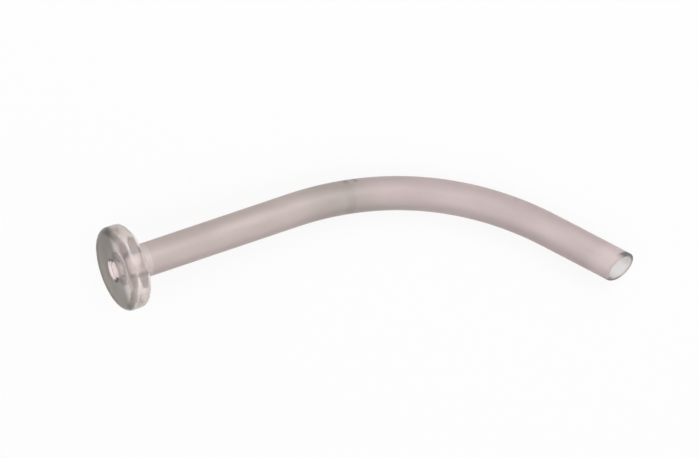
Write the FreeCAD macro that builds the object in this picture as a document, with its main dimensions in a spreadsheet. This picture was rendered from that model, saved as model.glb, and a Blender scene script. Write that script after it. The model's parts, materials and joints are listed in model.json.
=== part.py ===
import FreeCAD
import Part
import Sketcher
import math
import os

# Nasopharyngeal airway: a soft curved tube with a bevelled tip, bonded over
# the spigot of a clear moulded flange. It lies on its side, as it comes to
# rest: on the rim of the flange and on the outside of the bend.

# Driving sizes, in millimetres and degrees. The tube is a 28 French one,
# which is 28/3 mm across and has a 7 mm bore.
SIZES = {
    "tube_diameter": 9.33,
    "tube_bore": 7.0,
    "straight_length": 48.7,
    "bend_radius": 103.0,
    "bend_angle": 43.0,
    "tip_length": 23.8,
    "bevel_angle": 42.5,
    "bevel_turn": 26.5,
    "lip_flat": 0.265,
    "flange_diameter": 23.8,
    "flange_thickness": 6.1,
    "rim_radius": 2.0,
    "port_bore": 5.0,
    "mouth_diameter": 6.0,
    "mouth_depth": 0.8,
    "spigot_length": 4.0,
    "bond_gap": 0.05,
}

# What the swept tube runs past the bevel before the bevel is cut, and the
# size of the cut, in tube diameters.
SPARE_LENGTH = 1.0
CUT_DIAMETERS = 4.0

# Rounds of refining for the resting lean and the point of balance.
LEAN_STEPS = 20
BALANCE_STEPS = 40


def make_sheet(doc):
    """The spreadsheet that holds every driving size under its own alias."""
    sheet = doc.addObject("Spreadsheet::Sheet", "Sizes")
    for row, (alias, value) in enumerate(SIZES.items(), start=1):
        sheet.set(f"A{row}", alias)
        sheet.set(f"B{row}", str(value))
        sheet.setAlias(f"B{row}", alias)
    doc.recompute()
    return sheet


def make_body(doc, name):
    """A body whose Label names its file."""
    body = doc.addObject("PartDesign::Body", name)
    body.Label = name
    return body


def origin_feature(body, role):
    """One of the body's own origin planes or axes."""
    found = [f for f in body.Origin.OriginFeatures if f.Role == role]
    return found[0]


def make_sketch(body, name, plane):
    """An empty sketch on one of the body's origin planes."""
    sketch = body.newObject("Sketcher::SketchObject", name)
    sketch.AttachmentSupport = [(origin_feature(body, plane), "")]
    sketch.MapMode = "FlatFace"
    return sketch


def start(shape):
    """The start point of a line or an arc in a sketch."""
    return shape, 1


def end(shape):
    """The end point of a line or an arc in a sketch."""
    return shape, 2


def centre(shape):
    """The centre point of a circle in a sketch."""
    return shape, 3


def x_axis():
    """A sketch's own X axis. Its start point is the origin."""
    return -1


def y_axis():
    """A sketch's own Y axis."""
    return -2


def constrain(sketch, kind, *where):
    """A constraint with no size, such as Coincident or Tangent."""
    return sketch.addConstraint(Sketcher.Constraint(kind, *where))


def dimension(sketch, name, expression, kind, *where):
    """A named dimension that follows the sheet."""
    value = float(sketch.Document.Sizes.evalExpression(expression))
    if kind == "Angle":
        value = math.radians(value)
    index = sketch.addConstraint(Sketcher.Constraint(kind, *where, value))
    sketch.renameConstraint(index, name)
    sketch.setExpression(f"Constraints.{name}", expression)


def half_section(sketch, corners):
    """A closed outline whose corners are (name, x, y) with x and y as
    expressions of the sheet. An x of None puts the corner on the Y axis."""
    sheet = sketch.Document.Sizes
    points = []
    for name, x, y in corners:
        across = sheet.evalExpression(x) if x else 0.0
        points.append(FreeCAD.Vector(float(across), float(sheet.evalExpression(y)), 0))
    lines = [sketch.addGeometry(Part.LineSegment(here, there))
             for here, there in zip(points, points[1:] + points[:1])]
    origin = start(x_axis())
    for line, before in zip(lines, lines[-1:] + lines):
        constrain(sketch, "Coincident", *end(before), *start(line))
    for line, (name, x, y) in zip(lines, corners):
        if x:
            dimension(sketch, f"{name}_x", x, "DistanceX", *origin, *start(line))
        else:
            constrain(sketch, "PointOnObject", *start(line), y_axis())
        dimension(sketch, f"{name}_y", y, "DistanceY", *origin, *start(line))


def round_edges(body, name, base, radius, wanted):
    """A fillet on the edges of base that the wanted test picks out."""
    edges = [f"Edge{i}" for i, edge in enumerate(base.Shape.Edges, start=1) if wanted(edge)]
    fillet = body.newObject("PartDesign::Fillet", name)
    fillet.Base = (base, edges)
    fillet.Radius = float(base.Document.Sizes.evalExpression(radius))
    fillet.setExpression("Radius", radius)
    base.Document.recompute()
    return fillet


def make_flange(doc):
    """The clear moulding: a thick disc with a port through it and a spigot
    behind it. The axis is X, and the face that meets the tube is at x = 0."""
    body = make_body(doc, "flange")
    section = make_sketch(body, "half_section", "XY_Plane")
    half_section(section, [
        ("mouth", "-Sizes.flange_thickness", "Sizes.mouth_diameter / 2"),
        ("near_rim", "-Sizes.flange_thickness", "Sizes.flange_diameter / 2"),
        ("far_rim", None, "Sizes.flange_diameter / 2"),
        ("spigot_root", None, "Sizes.tube_bore / 2 - Sizes.bond_gap"),
        ("spigot_end", "Sizes.spigot_length", "Sizes.tube_bore / 2 - Sizes.bond_gap"),
        ("port_end", "Sizes.spigot_length", "Sizes.port_bore / 2"),
        ("port_start", "Sizes.mouth_depth - Sizes.flange_thickness", "Sizes.port_bore / 2"),
    ])
    turned = body.newObject("PartDesign::Revolution", "turned_flange")
    turned.Profile = section
    turned.ReferenceAxis = (origin_feature(body, "X_Axis"), [""])
    turned.Angle = 360.0
    doc.recompute()
    rim = doc.Sizes.flange_diameter / 2

    def on_rim(edge):
        return edge.Curve.TypeId == "Part::GeomCircle" and abs(edge.Curve.Radius - rim) < 1e-6

    round_edges(body, "rounded_rim", turned, "Sizes.rim_radius", on_rim)
    return body


def draw_spine(body):
    """The tube's centre line: straight, one even bend, and a straight tip
    that runs on past the bevel."""
    sheet = body.Document.Sizes
    reach = f"Sizes.tube_diameter / 2 * tan(Sizes.bevel_angle * 1 deg) + {SPARE_LENGTH}"
    last_leg = f"Sizes.tip_length + {reach}"
    turn = math.radians(sheet.bend_angle)
    centre = FreeCAD.Vector(sheet.straight_length, -sheet.bend_radius, 0)
    bend_end = centre + sheet.bend_radius * FreeCAD.Vector(math.sin(turn), math.cos(turn), 0)
    leg = float(sheet.evalExpression(last_leg))
    spine = make_sketch(body, "centre_line", "XY_Plane")
    straight = spine.addGeometry(Part.LineSegment(
        FreeCAD.Vector(0, 0, 0), FreeCAD.Vector(sheet.straight_length, 0, 0)))
    circle = Part.Circle(centre, FreeCAD.Vector(0, 0, 1), sheet.bend_radius)
    bend = spine.addGeometry(Part.ArcOfCircle(circle, math.pi / 2 - turn, math.pi / 2))
    tip = spine.addGeometry(Part.LineSegment(
        bend_end, bend_end + leg * FreeCAD.Vector(math.cos(turn), -math.sin(turn), 0)))
    constrain(spine, "Coincident", *start(straight), *start(x_axis()))
    constrain(spine, "PointOnObject", *end(straight), x_axis())
    constrain(spine, "Tangent", *end(straight), *end(bend))
    constrain(spine, "Tangent", *start(bend), *start(tip))
    dimension(spine, "straight", "Sizes.straight_length", "Distance", straight)
    dimension(spine, "bend", "Sizes.bend_radius", "Radius", bend)
    dimension(spine, "tip", last_leg, "Distance", tip)
    dimension(spine, "turn", "-Sizes.bend_angle * 1 deg", "Angle", tip)
    return spine


def draw_ring(body):
    """The tube's section: its outside and its bore."""
    sheet = body.Document.Sizes
    ring = make_sketch(body, "ring", "YZ_Plane")
    for name, alias in (("outside", "tube_diameter"), ("bore", "tube_bore")):
        size = sheet.get(alias)
        circle = ring.addGeometry(Part.Circle(FreeCAD.Vector(), FreeCAD.Vector(0, 0, 1), size / 2))
        constrain(ring, "Coincident", *centre(circle), *start(x_axis()))
        dimension(ring, name, f"Sizes.{alias}", "Diameter", circle)
    return ring


def draw_bevel(body):
    """The cutting disc of the bevel. Its plane passes through the centre line
    at the end of the tip, leans back by the bevel's angle, and is turned out
    of the bend's plane, so that the opening faces up and into the bend."""
    bevel = make_sketch(body, "bevel_plane", "XY_Plane")
    size = body.Document.Sizes.tube_diameter * CUT_DIAMETERS
    disc = bevel.addGeometry(Part.Circle(FreeCAD.Vector(), FreeCAD.Vector(0, 0, 1), size / 2))
    constrain(bevel, "Coincident", *centre(disc), *start(x_axis()))
    dimension(bevel, "cut", f"Sizes.tube_diameter * {CUT_DIAMETERS}", "Diameter", disc)
    angle, turn, bend = (f"Sizes.{name} * 1 deg" for name in ("bevel_angle", "bevel_turn", "bend_angle"))
    for place, expression in {
        "Base.x": f"Sizes.straight_length + Sizes.bend_radius * sin({bend}) + Sizes.tip_length * cos({bend})",
        "Base.y": f"Sizes.bend_radius * (cos({bend}) - 1) - Sizes.tip_length * sin({bend})",
        "Rotation.Yaw": "-Sizes.bend_angle",
        "Rotation.Pitch": f"atan(1 / (tan({angle}) * cos({turn})))",
        "Rotation.Roll": f"asin(sin({angle}) * sin({turn}))",
    }.items():
        bevel.setExpression(f"AttachmentOffset.{place}", expression)
    return bevel


def make_tube(doc):
    """The soft tube: a ring swept along the centre line, cut off at the
    bevel, with both lips of the cut rounded. The rounding takes the whole
    wall but for a narrow flat between the lips."""
    body = make_body(doc, "tube")
    sweep = body.newObject("PartDesign::AdditivePipe", "swept_tube")
    sweep.Profile = draw_ring(body)
    sweep.Spine = draw_spine(body)
    doc.recompute()
    cut = body.newObject("PartDesign::Pocket", "bevel")
    cut.Profile = draw_bevel(body)
    cut.Reversed = True
    cut.Length = doc.Sizes.tube_diameter * CUT_DIAMETERS
    cut.setExpression("Length", f"Sizes.tube_diameter * {CUT_DIAMETERS}")
    doc.recompute()
    plane = cut.Profile[0].getGlobalPlacement()
    outward = plane.Rotation.multVec(FreeCAD.Vector(0, 0, 1))

    def on_bevel(edge):
        points = edge.discretize(5)
        return all(abs((point - plane.Base).dot(outward)) < 1e-4 for point in points)

    lip = "((Sizes.tube_diameter - Sizes.tube_bore) / 2 - Sizes.lip_flat) / 2"
    round_edges(body, "rounded_lips", cut, lip, on_bevel)
    return body


def resting_contacts(sheet, along):
    """A floor that touches the far rim of the flange and the outside of the
    bend, the given angle round it: the way up, and the two points."""
    tube_radius = sheet.tube_diameter / 2
    rim = sheet.rim_radius
    rim_centre = FreeCAD.Vector(-rim, 0, 0)
    rim_reach = sheet.flange_diameter / 2 - rim
    outward = FreeCAD.Vector(math.sin(along), math.cos(along), 0)
    bend_centre = FreeCAD.Vector(sheet.straight_length, -sheet.bend_radius, 0)
    bend_point = bend_centre + outward * sheet.bend_radius
    lean = 0.0
    for _ in range(LEAN_STEPS):
        rise = rim_reach * math.sqrt(1 - (lean * outward.x) ** 2) + rim - tube_radius
        lean = rise / (bend_point - rim_centre).dot(outward)
    up = FreeCAD.Vector(0, 0, math.sqrt(1 - lean ** 2)) - outward * lean
    across = FreeCAD.Vector(0, up.y, up.z).normalize()
    return up, rim_centre - across * rim_reach - up * rim, bend_point - up * tube_radius


def resting_placement(sheet, shapes):
    """The airway on its side at rest, its weight over the line between its
    two contacts, with the flange's axis pointing along +X."""
    volume = sum(shape.Volume for shape in shapes)
    weight = FreeCAD.Vector()
    for shape in shapes:
        weight += shape.CenterOfGravity * (shape.Volume / volume)
    low, high = 0.0, math.radians(sheet.bend_angle)
    for _ in range(BALANCE_STEPS):
        along = (low + high) / 2
        up, rim_point, bend_point = resting_contacts(sheet, along)
        if (bend_point - rim_point).cross(weight - rim_point).dot(up) > 0:
            high = along
        else:
            low = along
    forward = FreeCAD.Vector(1, 0, 0)
    forward = (forward - up * forward.dot(up)).normalize()
    axes = FreeCAD.Rotation(forward, up.cross(forward), up, "ZXY")
    turn = FreeCAD.Placement(FreeCAD.Vector(), axes.inverted())
    turned = Part.Compound([shape.transformed(turn.toMatrix()) for shape in shapes])
    box = turned.optimalBoundingBox(False, False)
    base = FreeCAD.Vector(box.Center.x, box.Center.y, box.ZMin)
    return FreeCAD.Placement(-base, turn.Rotation)


def check(doc, bodies):
    """Stops if a feature failed, or if a body isn't one valid solid."""
    failed = [o.Name for o in doc.Objects if "Invalid" in o.State or "Error" in o.State]
    failed += [b.Label for b in bodies if b.Shape.isNull() or not b.Shape.isValid() or len(b.Shape.Solids) != 1]
    if failed:
        raise RuntimeError("failed: " + ", ".join(failed))


def main():
    doc = FreeCAD.newDocument("nasopharyngeal_airway")
    sheet = make_sheet(doc)
    bodies = [make_flange(doc), make_tube(doc)]
    check(doc, bodies)
    resting = resting_placement(sheet, [body.Shape for body in bodies])
    for body in bodies:
        body.Placement = resting
    doc.recompute()
    check(doc, bodies)
    os.makedirs("parts", exist_ok=True)
    for body in bodies:
        body.Shape.exportStep(f"parts/{body.Label}.step")
        print(body.Label, round(body.Shape.Volume, 1), "mm3")
    print("placed at", resting)


main()
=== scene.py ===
import json
import math

import bmesh
import bpy
from mathutils import Matrix, Vector

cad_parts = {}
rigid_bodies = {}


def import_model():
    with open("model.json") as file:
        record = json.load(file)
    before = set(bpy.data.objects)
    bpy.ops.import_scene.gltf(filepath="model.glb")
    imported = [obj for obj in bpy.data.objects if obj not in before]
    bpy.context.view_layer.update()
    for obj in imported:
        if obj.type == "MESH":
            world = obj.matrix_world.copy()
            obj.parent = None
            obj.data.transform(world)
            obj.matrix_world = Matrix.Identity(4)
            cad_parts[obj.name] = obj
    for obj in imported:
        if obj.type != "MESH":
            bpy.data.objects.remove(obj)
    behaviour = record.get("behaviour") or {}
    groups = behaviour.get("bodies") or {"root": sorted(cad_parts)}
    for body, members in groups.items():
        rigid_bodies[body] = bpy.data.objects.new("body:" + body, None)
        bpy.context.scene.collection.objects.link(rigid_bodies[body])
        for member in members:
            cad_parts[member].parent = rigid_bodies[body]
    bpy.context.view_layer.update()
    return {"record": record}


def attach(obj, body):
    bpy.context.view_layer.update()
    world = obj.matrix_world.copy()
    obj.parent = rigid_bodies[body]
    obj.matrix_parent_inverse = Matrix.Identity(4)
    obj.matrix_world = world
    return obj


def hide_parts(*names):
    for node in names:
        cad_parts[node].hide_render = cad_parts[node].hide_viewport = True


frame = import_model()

MM = 0.001

# Sizes of the airway in millimetres and degrees, as in the part's source.
TUBE_DIAMETER = 9.33
TUBE_BORE = 7.0
STRAIGHT_LENGTH = 48.7
BEND_RADIUS = 103.0
BEND_ANGLE = 43.0
TIP_LENGTH = 23.8
BEVEL_ANGLE = 42.5
BEVEL_TURN = 26.5
FLANGE_DIAMETER = 23.8
FLANGE_THICKNESS = 6.1
RIM_RADIUS = 2.0
PORT_BORE = 5.0
MOUTH_DIAMETER = 6.0
MOUTH_DEPTH = 0.8
SPIGOT_LENGTH = 4.0
BOND_GAP = 0.05

# What the scene adds or sets back: the bead of cement at the tube's root, the
# rounding of the port's mouth, how far the disc is set back under the tube's
# end for the cement, and how far the lips stay inside the part's box.
BEAD = 0.4
MOUTH_ROUNDING = 0.35
GLUE = 0.05
LIP_SETBACK = 0.28


# The flange's own frame: its axis towards the tube, the direction away from
# the bend's centre, and the normal of the bend's plane. The record's two
# mounts stand in the middle of the port's bore and 8 mm up the near face.
def flange_frame():
    mounts = {mount["name"]: mount for mount in frame["record"]["mounts"]}
    port, face = mounts["port"], mounts["outer_face"]
    axis = -Vector(port["axis"]).normalized()
    middle = (SPIGOT_LENGTH - FLANGE_THICKNESS + MOUTH_DEPTH) / 2
    origin = Vector(port["pos_m"]) - axis * (middle * MM)
    outward = Vector(face["pos_m"]) - origin + axis * (FLANGE_THICKNESS * MM)
    outward = (outward - axis * outward.dot(axis)).normalized()
    normal = axis.cross(outward)
    turn = Matrix((axis, outward, normal)).transposed().to_4x4()
    return Matrix.Translation(origin) @ turn


TO_WORLD = flange_frame()


# A node tree under construction, with short names for its maths.
class Nodes:
    def __init__(self, tree):
        self.tree = tree

    def node(self, kind, settings=None, **values):
        made = self.tree.nodes.new(kind)
        for key, value in (settings or {}).items():
            setattr(made, key, value)
        for key, value in values.items():
            self.feed(made.inputs[key.replace("_", " ")], value)
        return made

    def feed(self, socket, value):
        if isinstance(value, bpy.types.NodeSocket):
            self.tree.links.new(value, socket)
        else:
            socket.default_value = value

    def math(self, operation, *values):
        made = self.tree.nodes.new("ShaderNodeMath")
        made.operation = operation
        for socket, value in zip(made.inputs, values):
            self.feed(socket, value)
        return made.outputs[0]

    def add(self, a, b):
        return self.math("ADD", a, b)

    def minus(self, a, b):
        return self.math("SUBTRACT", a, b)

    def times(self, a, b):
        return self.math("MULTIPLY", a, b)

    def over(self, a, b):
        return self.math("DIVIDE", a, b)

    def unsigned(self, value):
        return self.math("ABSOLUTE", value)

    def from_axis(self, y, z):
        return self.math("SQRT", self.add(self.times(y, y), self.times(z, z)))

    def clamp(self, value, low, high):
        return self.math("MINIMUM", self.math("MAXIMUM", value, low), high)

    def blend(self, part, first, second):
        made = self.node("ShaderNodeMix", {"data_type": "RGBA"})
        for socket, value in zip((made.inputs[0], made.inputs[6], made.inputs[7]), (part, first, second)):
            self.feed(socket, value)
        return made.outputs[2]


# A node group with named inputs and outputs.
class Group(Nodes):
    def __init__(self, name, kind, inputs, outputs):
        super().__init__(bpy.data.node_groups.new(name, kind))
        face = self.tree.interface
        for label, socket_kind in outputs.items():
            face.new_socket(label, in_out="OUTPUT", socket_type=f"NodeSocket{socket_kind}")
        self.ids = {}
        for label, (socket_kind, value) in inputs.items():
            socket = face.new_socket(label, in_out="INPUT", socket_type=f"NodeSocket{socket_kind}")
            if value is not None:
                socket.default_value = value
            self.ids[label] = socket.identifier
        self.given = self.tree.nodes.new("NodeGroupInput")
        self.result = self.tree.nodes.new("NodeGroupOutput")

    def input(self, label):
        return self.given.outputs[label]


# The tube as a rule: a sheet is rolled into a straight double-walled tube
# with one rounded lip, its free end is slid along to make the bevel, and the
# whole is bent along the centre line. Two attributes are kept for the finish:
# run, where the point was in the straight tube, and from_tip, how far the
# point is from the bevel, both in millimetres. Edges that turn by less than
# SOFT_EDGE radians are smooth, and points within MEETING millimetres join.
SOFT_EDGE = 0.6
MEETING = 0.002
TUBE_INPUTS = {
    "Tube Radius": ("Float", TUBE_DIAMETER / 2),
    "Bore Radius": ("Float", TUBE_BORE / 2),
    "Straight Length": ("Float", STRAIGHT_LENGTH),
    "Bend Radius": ("Float", BEND_RADIUS),
    "Bend Angle": ("Float", math.radians(BEND_ANGLE)),
    "Tip Length": ("Float", TIP_LENGTH),
    "Bevel Slope": ("Float", math.tan(math.radians(BEVEL_ANGLE))),
    "Bevel Turn": ("Float", math.radians(BEVEL_TURN)),
    "Steps Along": ("Int", 120),
    "Steps Around": ("Int", 128),
    "Lip Steps": ("Int", 8),
    "Lip Setback": ("Float", LIP_SETBACK),
    "Finish": ("Material", None),
}


def tube_tree():
    t = Group("airway_tube", "GeometryNodeTree", TUBE_INPUTS, {"Geometry": "Geometry"})
    t.tree.is_modifier = True
    steps, lip = t.input("Steps Along"), t.input("Lip Steps")
    rows = t.add(t.add(steps, lip), 1.0)
    sheet = t.node("GeometryNodeMeshGrid", Size_X=t.times(rows, 2.0), Size_Y=math.tau,
                   Vertices_X=t.add(t.times(rows, 2.0), 1.0), Vertices_Y=t.add(t.input("Steps Around"), 1.0))
    place = t.node("ShaderNodeSeparateXYZ", Vector=t.node("GeometryNodeInputPosition").outputs[0])
    row, around = place.outputs["X"], place.outputs["Y"]

    # The wall's section: the rounded lip, then the straight wall, then the
    # square end behind the flange.
    middle = t.over(t.add(t.input("Tube Radius"), t.input("Bore Radius")), 2.0)
    half_wall = t.over(t.minus(t.input("Tube Radius"), t.input("Bore Radius")), 2.0)
    turn = t.times(t.clamp(t.over(row, lip), -1.0, 1.0), math.pi / 2)
    distance = t.unsigned(row)
    down = t.over(t.clamp(t.minus(distance, lip), 0.0, steps), steps)
    close = t.clamp(t.minus(t.minus(distance, lip), steps), 0.0, 1.0)
    radius = t.add(middle, t.times(t.times(half_wall, t.math("SINE", turn)), t.minus(1.0, close)))

    # The bevel: how far the end slides at this radius and angle. The slide
    # fades out along the wall, so the wall's rings lean more and more.
    bend_length = t.times(t.input("Bend Radius"), t.input("Bend Angle"))
    whole = t.add(t.add(t.input("Straight Length"), bend_length), t.input("Tip Length"))
    lean = t.math("SINE", t.minus(around, t.input("Bevel Turn")))
    slide = t.times(t.times(radius, t.input("Bevel Slope")), t.times(lean, -1.0))
    bulge = t.minus(t.times(half_wall, t.minus(t.math("COSINE", turn), 1.0)), t.input("Lip Setback"))
    end = t.add(t.add(whole, slide), bulge)
    along = t.times(end, t.minus(1.0, down))

    # The bend: the centre line's point and direction at that length.
    past = t.clamp(t.minus(along, t.input("Straight Length")), 0.0, bend_length)
    angle = t.over(past, t.input("Bend Radius"))
    sine, cosine = t.math("SINE", angle), t.math("COSINE", angle)
    first = t.math("MINIMUM", along, t.input("Straight Length"))
    last = t.math("MAXIMUM", t.minus(t.minus(along, t.input("Straight Length")), bend_length), 0.0)
    rise = t.times(radius, t.math("COSINE", around))
    x = t.add(t.add(first, t.times(t.add(t.input("Bend Radius"), rise), sine)), t.times(last, cosine))
    y = t.minus(t.minus(t.times(t.add(t.input("Bend Radius"), rise), cosine), t.input("Bend Radius")),
                t.times(last, sine))
    z = t.times(radius, t.math("SINE", around))
    point = t.node("ShaderNodeCombineXYZ", X=x, Y=y, Z=z)

    # The finish's attributes are kept before the points move.
    straight = t.node("ShaderNodeCombineXYZ", X=along, Y=rise, Z=z)
    kept = t.node("GeometryNodeStoreNamedAttribute", {"data_type": "FLOAT_VECTOR", "domain": "POINT"},
                  Geometry=sheet.outputs["Mesh"], Name="run", Value=straight.outputs[0])
    both = t.node("GeometryNodeStoreNamedAttribute", {"data_type": "FLOAT", "domain": "POINT"},
                  Geometry=kept.outputs[0], Name="from_tip", Value=t.times(end, down))
    bent = t.node("GeometryNodeSetPosition", Geometry=both.outputs[0], Position=point.outputs[0])
    scaled = t.node("GeometryNodeTransform", Geometry=bent.outputs[0], Scale=(MM, MM, MM))
    sealed = t.node("GeometryNodeMergeByDistance", Geometry=scaled.outputs[0], Distance=MEETING * MM)
    soft = t.math("LESS_THAN", t.node("GeometryNodeInputMeshEdgeAngle").outputs["Unsigned Angle"], SOFT_EDGE)
    smooth = t.node("GeometryNodeSetShadeSmooth", {"domain": "EDGE"},
                    Geometry=sealed.outputs[0], Shade_Smooth=soft)
    real = t.node("GeometryNodeRealizeInstances", Geometry=smooth.outputs[0])
    finish = t.node("GeometryNodeSetMaterial", Geometry=real.outputs[0], Material=t.input("Finish"))
    t.feed(t.result.inputs[0], finish.outputs[0])
    return t


# A plain mesh from a tree and its inputs, put in its place.
def grow(name, tree, values, place):
    seed = bpy.data.objects.new(name, bpy.data.meshes.new(name))
    bpy.context.scene.collection.objects.link(seed)
    modifier = seed.modifiers.new("rule", "NODES")
    modifier.node_group = tree.tree
    for label, value in values.items():
        modifier[tree.ids[label]] = value
    seen = seed.evaluated_get(bpy.context.evaluated_depsgraph_get())
    mesh = bpy.data.meshes.new_from_object(seen)
    seed.modifiers.remove(modifier)
    mesh.name = name
    mesh.transform(place)
    seed.data = mesh
    return seed


# A turned shape about the flange's axis from its section: (x, radius, finish)
# points in order round the material, where a finish covers the stretch that
# follows its point. Corners sharper than the limit stay crisp. The attribute
# place keeps each point's millimetres in the flange's frame for the finish.
def turn_shape(name, section, finishes, around=192, crisp=25.0):
    build = bmesh.new()
    place = build.verts.layers.float_vector.new("place")
    rings = []
    for step in range(around):
        angle = math.tau * step / around
        rings.append([])
        for x, r, _ in section:
            spot = Vector((x, r * math.cos(angle), r * math.sin(angle)))
            rings[-1].append(build.verts.new(spot * MM))
            rings[-1][-1][place] = spot
    for here, there in zip(rings, rings[1:] + rings[:1]):
        for a, b in zip(range(len(section)), list(range(1, len(section))) + [0]):
            face = build.faces.new((here[a], here[b], there[b], there[a]))
            face.material_index = section[a][2]
    bmesh.ops.recalc_face_normals(build, faces=build.faces)
    for face in build.faces:
        face.smooth = True
    for edge in build.edges:
        edge.smooth = edge.calc_face_angle() < math.radians(crisp)
    mesh = bpy.data.meshes.new(name)
    build.to_mesh(mesh)
    build.free()
    mesh.transform(TO_WORLD)
    for finish in finishes:
        mesh.materials.append(finish)
    piece = bpy.data.objects.new(name, mesh)
    bpy.context.scene.collection.objects.link(piece)
    return piece


def arc_points(x, r, size, first, last, steps=16):
    angles = [math.radians(first + (last - first) * step / steps) for step in range(steps + 1)]
    return [(x + size * math.cos(angle), r + size * math.sin(angle)) for angle in angles]


# The flange's finishes, by their place on the piece: its outside, the bore
# with its mouth, and the bonded spigot inside the tube.
OUTSIDE, BORE, BOND = 0, 1, 2


# The section runs up the near face, round the rim, down the far face to the
# bead and the bond, along the spigot, and back through the port to its mouth.
def flange_section():
    rim = FLANGE_DIAMETER / 2 - RIM_RADIUS
    near, far = -FLANGE_THICKNESS, 0.0
    spigot = TUBE_BORE / 2 - BOND_GAP
    port, mouth = PORT_BORE / 2, MOUTH_DIAMETER / 2
    tube = TUBE_DIAMETER / 2 + BOND_GAP / 2
    shown = arc_points(near + RIM_RADIUS, rim, RIM_RADIUS, 180, 90)
    shown += arc_points(far - RIM_RADIUS, rim, RIM_RADIUS, 90, 0)[1:]
    shown += arc_points(far + BEAD, tube + BEAD, BEAD, 180, 270, 6)
    section = [(x, r, OUTSIDE) for x, r in shown]
    section += [(far, tube, BOND), (far - GLUE, tube - GLUE, BOND), (far - GLUE, spigot, BOND)]
    section += [(SPIGOT_LENGTH, spigot, BOND), (SPIGOT_LENGTH, port, BORE)]
    section += [(near + MOUTH_DEPTH, port, BORE), (near + MOUTH_DEPTH, mouth, BORE)]
    lip = arc_points(near + MOUTH_ROUNDING, mouth + MOUTH_ROUNDING, MOUTH_ROUNDING, 270, 180, 6)
    section += [(x, r, BORE) for x, r in lip[:-1]] + [(*lip[-1], OUTSIDE)]
    return section


# Cloudy PVC: a shade near 1 that drifts over the piece, drawn out along X.
def clouds_group():
    g = Group("pvc_clouds", "ShaderNodeTree", {
        "Place": ("Vector", None), "Size": ("Float", 6.0), "Stretch": ("Float", 1.0),
        "Amount": ("Float", 0.05), "Detail": ("Float", 2.0)}, {"Shade": "Float"})
    across = g.over(1.0, g.input("Size"))
    scale = g.node("ShaderNodeCombineXYZ", X=g.over(across, g.input("Stretch")), Y=across, Z=across)
    scaled = g.node("ShaderNodeVectorMath", {"operation": "MULTIPLY"})
    g.feed(scaled.inputs[0], g.input("Place"))
    g.feed(scaled.inputs[1], scale.outputs[0])
    noise = g.node("ShaderNodeTexNoise", Vector=scaled.outputs[0], Scale=1.0, Detail=g.input("Detail"))
    drift = g.times(g.minus(noise.outputs[0], 0.5), g.times(g.input("Amount"), 2.0))
    g.feed(g.result.inputs["Shade"], g.add(drift, 1.0))
    return g.tree


# Handled PVC: faint lines from the die along X, pits and smudges. Height is
# in millimetres, and Smudge goes from 0 to 1.
def surface_group():
    g = Group("pvc_surface", "ShaderNodeTree", {
        "Place": ("Vector", None), "Lines": ("Float", 0.01), "Pits": ("Float", 0.01)},
        {"Height": "Float", "Smudge": "Float"})
    height = 0.0
    for size, label in (((0.05, 2.2, 2.2), "Lines"), ((1.9, 1.9, 1.9), "Pits")):
        scaled = g.node("ShaderNodeVectorMath", {"operation": "MULTIPLY"})
        g.feed(scaled.inputs[0], g.input("Place"))
        scaled.inputs[1].default_value = size
        noise = g.node("ShaderNodeTexNoise", Vector=scaled.outputs[0], Scale=1.0, Detail=3.0)
        height = g.add(g.times(noise.outputs[0], g.input(label)), height)
    smudge = g.node("ShaderNodeTexNoise", Vector=g.input("Place"), Scale=0.22, Detail=4.0, Distortion=0.8)
    g.feed(g.result.inputs["Height"], height)
    g.feed(g.result.inputs["Smudge"], smudge.outputs[0])
    return g.tree


# A material under construction.
class Finish(Nodes):
    def __init__(self, name):
        self.made = bpy.data.materials.new(name)
        self.made.use_nodes = True
        super().__init__(self.made.node_tree)
        self.shader = self.tree.nodes["Principled BSDF"]

    # Constants go straight onto the shader's own sockets.
    def set(self, **values):
        for key, value in values.items():
            self.feed(self.shader.inputs[key.replace("_", " ")], value)

    def attribute(self, name):
        return self.node("ShaderNodeAttribute", {"attribute_name": name})

    # A stored place, whole and in its three parts.
    def spot(self, name):
        whole = self.attribute(name).outputs["Vector"]
        return (whole, *self.node("ShaderNodeSeparateXYZ", Vector=whole).outputs)

    def clouds(self, place, **values):
        return self.node("ShaderNodeGroup", {"node_tree": CLOUDS}, Place=place, **values).outputs[0]

    # Lines and pits as a bump, and smudges as roughness: smooth is its least
    # value, and smudged is what a full smudge adds.
    def relief(self, place, lines, pits, strength, smooth, smudged):
        surface = self.node("ShaderNodeGroup", {"node_tree": SURFACE}, Place=place, Lines=lines, Pits=pits)
        bump = self.node("ShaderNodeBump", Strength=strength, Distance=MM, Height=surface.outputs["Height"])
        self.set(Normal=bump.outputs[0],
                 Roughness=self.add(self.times(surface.outputs["Smudge"], smudged), smooth))

    def step(self, value, low, high):
        made = self.node("ShaderNodeMapRange", {"interpolation_type": "SMOOTHSTEP"},
                         Value=value, From_Min=low, From_Max=high)
        return made.outputs[0]

    def shaded(self, colour, shade):
        made = self.node("ShaderNodeVectorMath", {"operation": "SCALE"}, Scale=shade)
        self.feed(made.inputs[0], colour if isinstance(colour, bpy.types.NodeSocket) else colour[:3])
        return made.outputs[0]

    # The lamps' light passes through the PVC: a shadow ray goes on, tinted.
    def let_light_through(self, tint):
        rays = self.node("ShaderNodeLightPath")
        through = self.node("ShaderNodeBsdfTransparent", Color=(*tint, 1))
        mix = self.node("ShaderNodeMixShader", Fac=rays.outputs["Is Shadow Ray"])
        self.feed(mix.inputs[1], self.shader.outputs[0])
        self.feed(mix.inputs[2], through.outputs[0])
        self.feed(self.tree.nodes["Material Output"].inputs["Surface"], mix.outputs[0])


CLOUDS = clouds_group()
SURFACE = surface_group()

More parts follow.
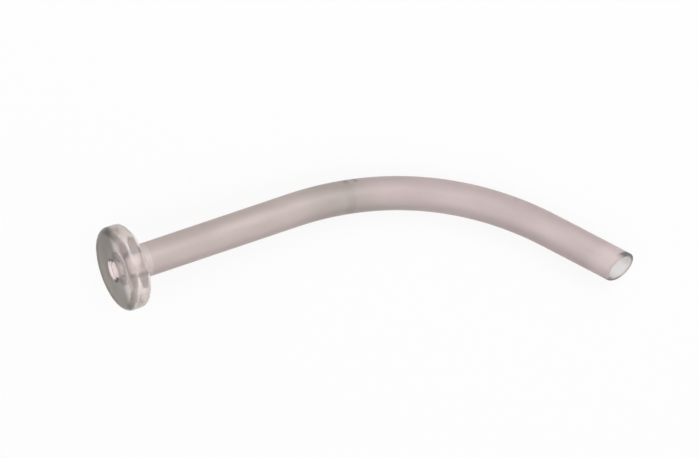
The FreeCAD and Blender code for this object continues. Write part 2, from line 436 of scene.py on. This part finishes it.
PVC_PINK = (0.585, 0.494, 0.474, 1)
PVC_ROSY = (0.612, 0.507, 0.501, 1)
# The next two colours are painted shade for the tube's fold.
PVC_DENT_SHADE = (0.16, 0.15, 0.14, 1)
PVC_FOLD_SHADE = (0.42, 0.372, 0.338, 1)
PVC_BONDED = (0.68, 0.60, 0.59, 1)
# The next two colours are painted light: the tube near its open tip and inside its bore.
PVC_LIGHT = (0.73, 0.605, 0.603, 1)
PVC_INSIDE = (0.79, 0.825, 0.825, 1)
# Painted shade for the clear cut edge, standing in for its dark refraction.
PVC_EDGE = (0.05, 0.052, 0.046, 1)


# Where the tube was once folded, along it: a grey stretch, longer on the bend's inner side,
# with a darker crease in its middle and two short dark spots on the outer side, all painted
# shade of a fold that the shape does not have. Past it the tube is rosier.
FOLD = 64.5
# How strongly the fold's painted shade darkens the tube.
FOLD_SHADE, CREASED, CREASED_MORE, DENT_SHADE = 0.55, 0.2, 0.25, 0.55
DENT_SHADE_MIDDLE, DENT_SHADE_APART = 1.3, 1.35


def folded(f, run, along, y):
    place = f.minus(f.add(along, f.clouds(run, Size=4.0, Amount=1.5)), 1.0)
    # Painted shade: the grey stretch and the darker crease stand in for the shade of a fold.
    shaded_stretch = f.times(f.step(place, FOLD - 21.0, FOLD - 3.0), f.step(f.add(place, y), FOLD + 11.5, FOLD - 0.5))
    inner = f.times(f.step(y, 2.0, -3.5), CREASED_MORE)
    crease = f.times(f.step(f.unsigned(f.minus(place, FOLD)), 2.2, 0.6), f.add(inner, CREASED))
    colour = f.blend(f.step(place, FOLD + 4.0, FOLD + 14.0), PVC_PINK, PVC_ROSY)
    colour = f.blend(f.add(f.times(shaded_stretch, FOLD_SHADE), crease), colour, PVC_FOLD_SHADE)
    # Painted shade: two short dark spots on the outer side beside the crease.
    dent_gap = f.unsigned(f.minus(f.unsigned(f.minus(along, FOLD + DENT_SHADE_MIDDLE)), DENT_SHADE_APART))
    dent_shade = f.times(f.step(dent_gap, 1.0, 0.3), f.step(y, 3.5, 4.3))
    return f.blend(f.times(dent_shade, DENT_SHADE), colour, PVC_DENT_SHADE)


# The cut edge is clear and is painted dark, a painted shade standing in for the dark
# refraction through its clear wall, most of all at the bevel's two sides, where the wall is
# seen edge on and the dark runs on along the outside, and least at its short side.
# SIDES_ANGLE is where the two sides lie.
SIDES_ANGLE = math.radians(22.0)
EDGE_DARK = 0.85


def edge_darkness(f, from_tip, y, z, radius):
    bore, turn = TUBE_BORE / 2, math.radians(BEVEL_TURN)
    side = f.over(f.add(f.times(y, math.cos(SIDES_ANGLE)), f.times(z, math.sin(SIDES_ANGLE))), radius)
    short = f.over(f.minus(f.times(z, math.cos(turn)), f.times(y, math.sin(turn))), radius)
    ends = f.step(f.unsigned(side), 0.5, 0.9)
    lip = f.step(f.add(radius, f.times(ends, 0.15)), bore + 0.1, bore + 0.7)
    lip = f.times(f.times(lip, f.step(from_tip, 1.0, 0.5)), f.step(short, 0.75, 0.35))
    lip = f.times(lip, f.add(f.times(ends, 0.6), 0.4))
    beyond = f.step(f.add(from_tip, f.times(side, 0.7)), 2.0, 0.2)
    beyond = f.times(f.step(f.unsigned(side), 0.8, 0.97), beyond)
    beyond = f.times(beyond, f.step(radius, bore + 0.4, bore + 1.0))
    return f.times(f.math("MAXIMUM", lip, beyond), EDGE_DARK)


def tube_finish():
    f = Finish("soft_pvc")
    run, along, y, z = f.spot("run")
    radius = f.from_axis(y, z)
    from_tip = f.attribute("from_tip").outputs["Fac"]
    bore = TUBE_BORE / 2
    colour = folded(f, run, along, y)
    bond_end = f.add(along, f.clouds(run, Size=2.5, Amount=0.3))
    colour = f.blend(f.step(bond_end, SPIGOT_LENGTH + 1.1, SPIGOT_LENGTH + 0.6), colour, PVC_BONDED)
    # Painted light: lighter towards the open tip and much whiter inside the bore, standing in for light that
    # comes in through the tip and the thin wall.
    colour = f.blend(f.step(from_tip, 8.0, 3.0), colour, PVC_LIGHT)
    colour = f.blend(f.step(radius, bore + 0.3, bore + 0.1), colour, PVC_INSIDE)
    # Painted shade: the clear cut edge painted dark where it would refract dark.
    colour = f.blend(edge_darkness(f, from_tip, y, z, radius), colour, PVC_EDGE)
    shade = f.times(f.clouds(run, Size=5.0, Stretch=3.0, Amount=0.14, Detail=3.0),
                    f.clouds(run, Size=0.35, Stretch=2.0, Amount=0.05))
    f.set(Base_Color=f.shaded(colour, shade), IOR=1.5, Transmission_Weight=0.35)
    f.relief(run, lines=0.02, pits=0.012, strength=0.5, smooth=0.30, smudged=0.25)
    f.let_light_through((0.72, 0.64, 0.63))
    return f.made


# Painted shade colours for the flange's near face and the two ends of its edge; the clear edge colour is its
# own.
FACE_PAINTED_SHADE = (0.115, 0.093, 0.068, 1)
FACE_PAINTED_DEEP_SHADE = (0.051, 0.038, 0.027, 1)
EDGE_CLEAR = (0.90, 0.82, 0.795, 1)
EDGE_PAINTED_SHADE = (0.56, 0.505, 0.465, 1)
# Painted shade for dark spots on the port's wall.
PORT_PAINTED_SHADE = (0.03, 0.028, 0.024, 1)
PORT_LIGHT = (0.93, 0.85, 0.86, 1)
PORT_DEEP = (0.58, 0.50, 0.48, 1)
BOND_PINK = (0.64, 0.555, 0.54, 1)


# The near face is painted grey, greyer away from the bend: painted shade for the dark seen
# through the clear disc. The side that lies uppermost and the edge behind the face are clear
# and pinkish, the uppermost side lighter as painted light from above, and they are painted
# greyer towards the edge's two ends as painted shade.
def outside_finish():
    f = Finish("clear_pvc")
    place, x, y, z = f.spot("place")
    depth = f.add(x, FLANGE_THICKNESS)
    # Painted shade: the near face grey, greyer away from the bend.
    grey = f.blend(f.step(y, -4.0, 9.0), FACE_PAINTED_SHADE, FACE_PAINTED_DEEP_SHADE)
    # Painted light: the uppermost side stays clear and lighter, as if lit from above.
    clear = f.step(f.add(depth, f.times(f.minus(z, 4.0), 0.55)), -0.5, 2.2)
    clear = f.math("MAXIMUM", clear, f.step(depth, 1.2, 3.2))
    # Painted shade: the edge greyer towards its two ends.
    edge = f.blend(f.step(f.unsigned(y), 5.5, 11.5), EDGE_CLEAR, EDGE_PAINTED_SHADE)
    clouds = f.clouds(place, Size=4.0, Amount=0.22, Detail=3.0)
    f.set(Base_Color=f.shaded(f.blend(clear, grey, edge), clouds), IOR=1.49, Transmission_Weight=0.68)
    f.relief(place, lines=0.0, pits=0.004, strength=0.4, smooth=0.05, smudged=0.08)
    f.let_light_through((0.97, 0.95, 0.94))
    return f.made


# What shows inside the clear flange. It hardly bends light, so that its own
# colour can be seen from within the disc.
def inner_finish(f, place, colour, clear):
    clouds = f.clouds(place, Size=1.5, Amount=0.12, Detail=3.0)
    f.set(Base_Color=f.shaded(colour, clouds), Roughness=0.5, IOR=1.05, Transmission_Weight=clear)
    f.let_light_through((0.93, 0.87, 0.865))
    return f.made


# The wall of the port, painted lighter at its mouth and darker deeper in, and painted dark at
# two sides of its mouth and of the level of the joint: painted shade where the wall turns edge on.
def port_finish():
    f = Finish("port_wall")
    place, x, y, z = f.spot("place")
    # Painted light and shade: lighter at the mouth, darker deeper in the port.
    colour = f.blend(f.step(x, -5.0, -3.0), PORT_LIGHT, PORT_DEEP)
    # Painted shade: dark spots where the port's wall is seen edge on, at its mouth and at the joint.
    side = f.over(f.unsigned(y), f.from_axis(y, z))
    at_mouth = f.times(f.times(f.step(side, 0.74, 0.94), f.step(x, -4.6, -5.3)), 0.8)
    at_joint = f.times(f.step(side, 0.62, 0.85), f.step(f.unsigned(x), 1.7, 0.9))
    colour = f.blend(f.math("MAXIMUM", at_mouth, at_joint), colour, PORT_PAINTED_SHADE)
    return inner_finish(f, place, colour, 0.15)


# The bond round the spigot, with its ring of cement at the disc.
def bond_finish():
    f = Finish("solvent_bond")
    place, x, *_ = f.spot("place")
    colour = f.blend(f.step(f.unsigned(x), 0.4, 0.05), BOND_PINK, PORT_DEEP)
    return inner_finish(f, place, colour, 0.2)


tube_values = {label: value for label, (_, value) in TUBE_INPUTS.items()}
tube_values["Finish"] = tube_finish()
tube = grow("soft_tube", tube_tree(), tube_values, TO_WORLD)
flange = turn_shape("clear_flange", flange_section(), (outside_finish(), port_finish(), bond_finish()))
for piece, node in ((tube, "tube"), (flange, "flange")):
    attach(piece, "root")
    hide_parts(node)


# The floor looks white to the camera and through the clear flange, with the
# object's shadow on it, and throws back only half of the lamps' light. The
# lamps have their places and sizes in metres and their powers in watts.
FLOOR_GLOW = 0.85
FLOOR_SEEN, FLOOR_LIGHTING = (0.95, 0.95, 0.95, 1), (0.5, 0.5, 0.5, 1)
FLOOR_REACH = 3.0
WORLD_SEEN, WORLD_LIGHTING = (1, 1, 1, 1), (0.35, 0.35, 0.35, 1)
LAMPS = (("key", (0.2, 0.6, 0.8), 0.8, 6.05), ("fill", (0.0, -0.5, 0.8), 0.8, 2.9))


# 1 for the rays that show the studio, also in gloss and through clear PVC,
# and 0 for those that light the object.
def showing(nodes):
    rays = nodes.node("ShaderNodeLightPath")
    seen = rays.outputs["Is Camera Ray"]
    for kind in ("Is Transmission Ray", "Is Glossy Ray"):
        seen = nodes.math("MAXIMUM", seen, rays.outputs[kind])
    return seen


def floor_finish():
    f = Finish("studio_floor")
    seen = showing(f)
    f.set(Base_Color=f.blend(seen, FLOOR_LIGHTING, FLOOR_SEEN), Roughness=0.9)
    glow = f.node("ShaderNodeEmission", Color=(1, 1, 1, 1))
    mix = f.node("ShaderNodeMixShader", Fac=f.times(seen, FLOOR_GLOW))
    f.feed(mix.inputs[1], f.shader.outputs[0])
    f.feed(mix.inputs[2], glow.outputs[0])
    f.feed(f.tree.nodes["Material Output"].inputs["Surface"], mix.outputs[0])
    return f.made


def studio():
    scene = bpy.context.scene
    mesh = bpy.data.meshes.new("floor")
    corners = [(x * FLOOR_REACH, y * FLOOR_REACH, 0) for x, y in ((-1, -1), (1, -1), (1, 1), (-1, 1))]
    mesh.from_pydata(corners, [], [(0, 1, 2, 3)])
    mesh.materials.append(floor_finish())
    floor = bpy.data.objects.new("floor", mesh)
    scene.collection.objects.link(floor)
    world = bpy.data.worlds.new("studio")
    world.use_nodes = True
    sky = Nodes(world.node_tree)
    sky.feed(sky.tree.nodes["Background"].inputs["Color"],
             sky.blend(showing(sky), WORLD_LIGHTING, WORLD_SEEN))
    scene.world = world
    for name, place, size, power in LAMPS:
        lamp = bpy.data.lights.new(name, "AREA")
        lamp.size = size
        lamp.energy = power
        light = bpy.data.objects.new(name, lamp)
        light.location = place
        light.rotation_euler = (-Vector(place)).to_track_quat("-Z", "Y").to_euler()
        scene.collection.objects.link(light)
    scene.view_settings.view_transform = "Standard"


# The camera, from the fit of the centre line: the bend's plane is turned by
# YAW from the picture's, the flange's axis rises by START_ANGLE, and the
# flange's far face is centred near this pixel. The fit has no perspective, so
# the lens is long, in millimetres, and is aimed at a depth halfway between
# the flange and the tip.
IMAGE_WIDTH, IMAGE_HEIGHT = 698, 458
PIXELS_PER_MM = 3.676
FAR_FACE_PIXEL = (134.6, 263.75)
YAW = math.radians(22.0)
START_ANGLE = math.radians(17.36)
LENS, SENSOR = 1000.0, 36.0
AIM_DEPTH = 27.0
CLIP_START, CLIP_END = 0.1, 20.0


def camera():
    turn = TO_WORLD.to_3x3()
    right = turn @ Vector((math.cos(YAW) * math.cos(START_ANGLE), -math.cos(YAW) * math.sin(START_ANGLE),
                           math.sin(YAW)))
    up = turn @ Vector((math.sin(START_ANGLE), math.cos(START_ANGLE), 0))
    back = right.cross(up)
    aim = TO_WORLD.translation.copy()
    aim += right * ((IMAGE_WIDTH / 2 - FAR_FACE_PIXEL[0]) / PIXELS_PER_MM * MM)
    aim += up * ((FAR_FACE_PIXEL[1] - IMAGE_HEIGHT / 2) / PIXELS_PER_MM * MM)
    aim -= back * (AIM_DEPTH * MM)
    lens = bpy.data.cameras.new("camera")
    lens.lens = LENS
    lens.sensor_width = SENSOR
    half_width = IMAGE_WIDTH / 2 / PIXELS_PER_MM * MM
    eye = bpy.data.objects.new("camera", lens)
    eye.matrix_world = Matrix((right, up, back)).transposed().to_4x4()
    eye.location = aim + back * (half_width * LENS / (SENSOR / 2))
    lens.clip_start, lens.clip_end = CLIP_START, CLIP_END
    bpy.context.scene.collection.objects.link(eye)
    bpy.context.scene.camera = eye


studio()
camera()
